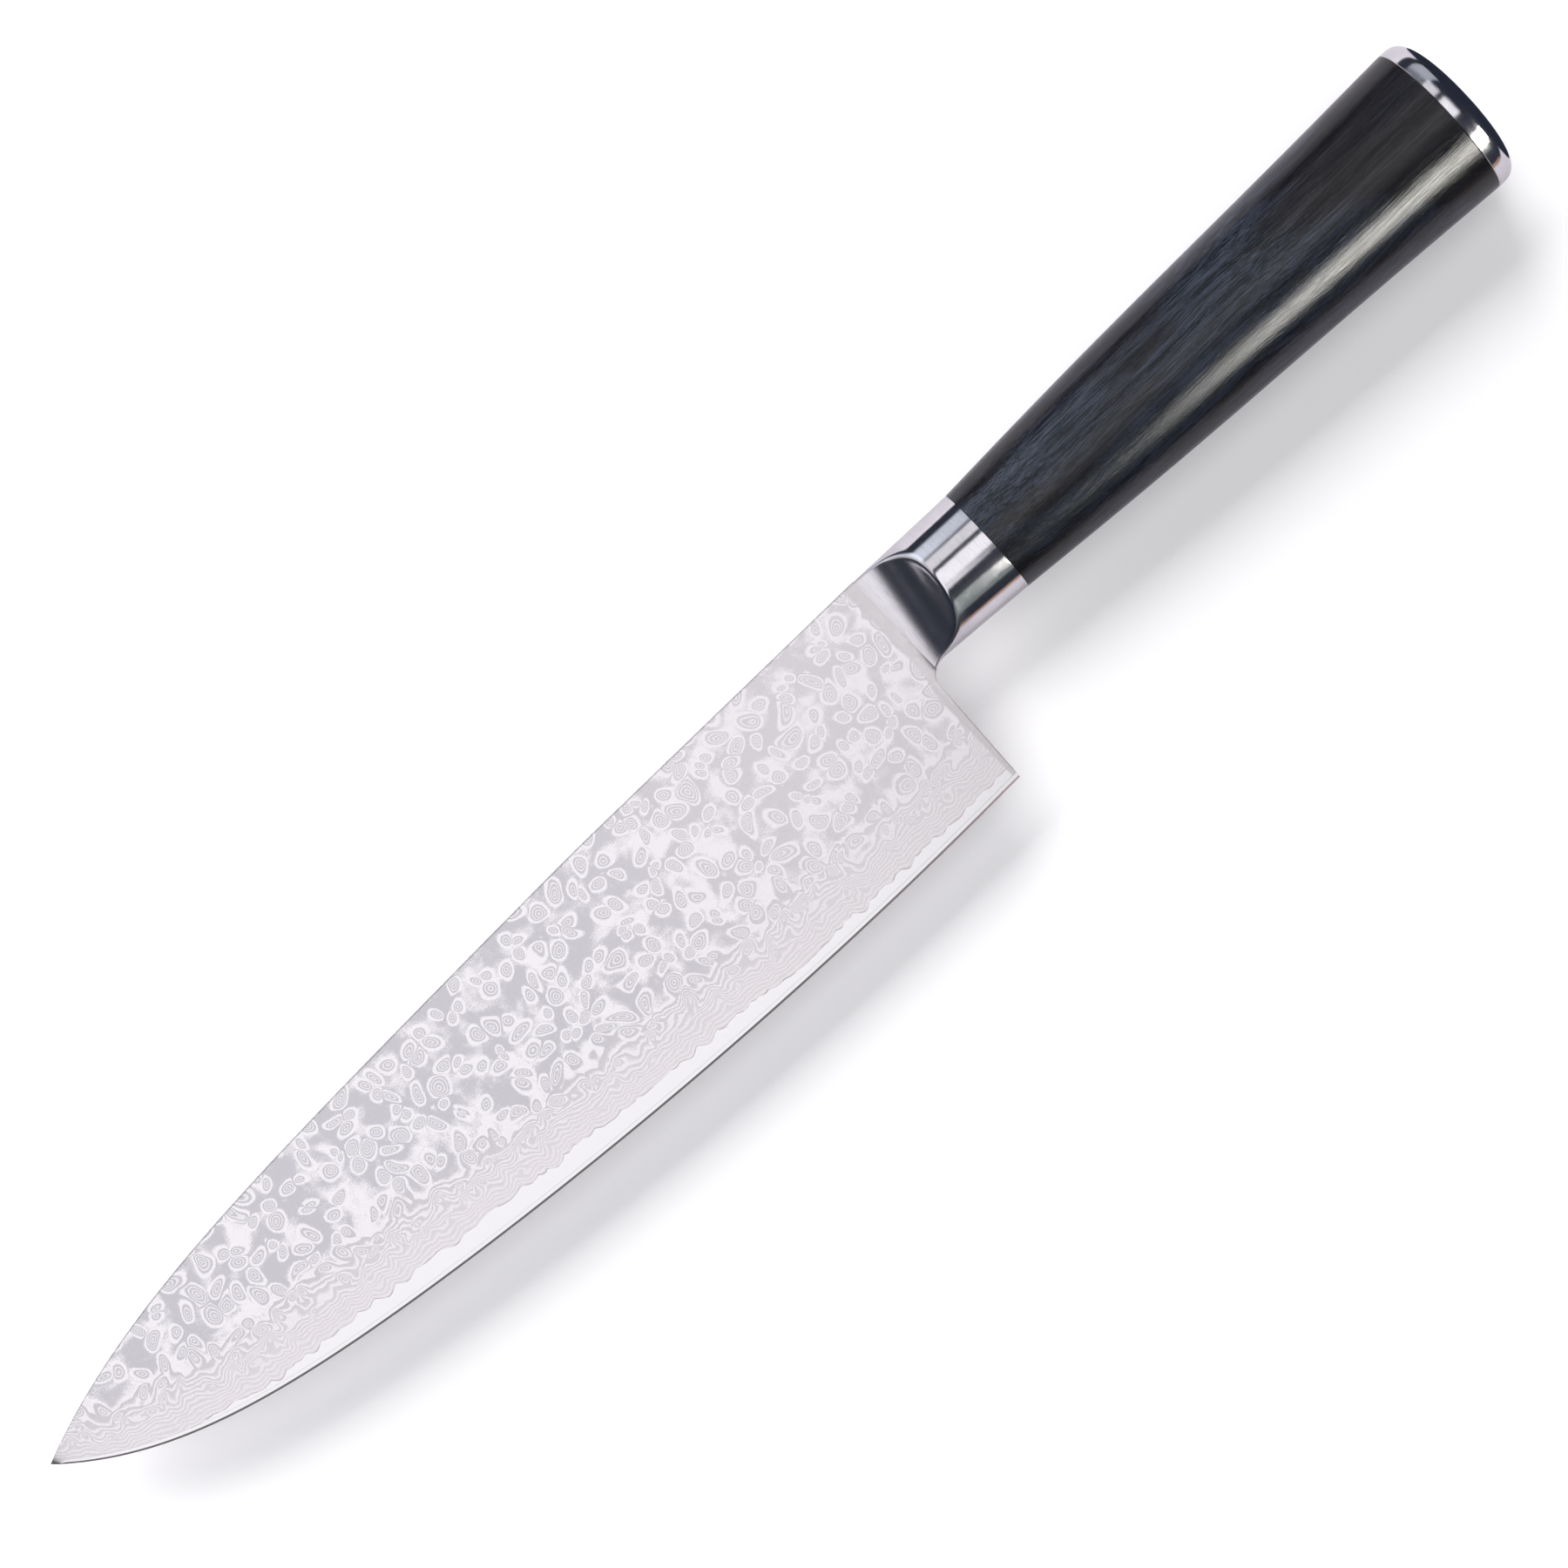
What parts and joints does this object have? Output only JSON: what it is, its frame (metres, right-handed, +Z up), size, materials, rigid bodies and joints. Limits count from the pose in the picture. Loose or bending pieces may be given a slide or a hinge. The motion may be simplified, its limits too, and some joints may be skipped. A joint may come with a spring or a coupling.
{
  "type": "chef knife",
  "caption": "Chef's knife with a broad laminated blade, a scooped steel bolster, an oval dark resin-wood grip that swells to the butt, and a steel end cap.",
  "frame": {"origin": "under the middle of the knife's box, on the surface that it lies on, with the blade's mid-plane level", "axes": "+X along the knife from the point to the butt; +Y in the blade's plane, from the edge towards the spine; +Z up, out of the left flank"},
  "size_m": [0.3341, 0.046, 0.0243],
  "materials": {
    "core_steel": "bright polished hard core steel, with a fine ground bevel at the edge",
    "layered_steel": "etched layered steel with round and stretched ring patterns",
    "polished_steel": "polished stainless steel",
    "resin_wood": "blue-black resin-filled layered wood with fine streaks, polished to a satin gloss",
    "plain_steel": "plain machined steel",
    "epoxy": "cured amber epoxy"
  },
  "bodies": {
    "root": {"core_steel": "core_steel", "cladding_left": "layered_steel", "cladding_right": "layered_steel", "bolster": "polished_steel", "handle_grip": "resin_wood", "end_cap": "polished_steel", "tang_rod": "plain_steel", "tang_washer": "plain_steel", "tang_nut": "plain_steel", "tang_epoxy": "epoxy"}
  },
  "joints": []
}
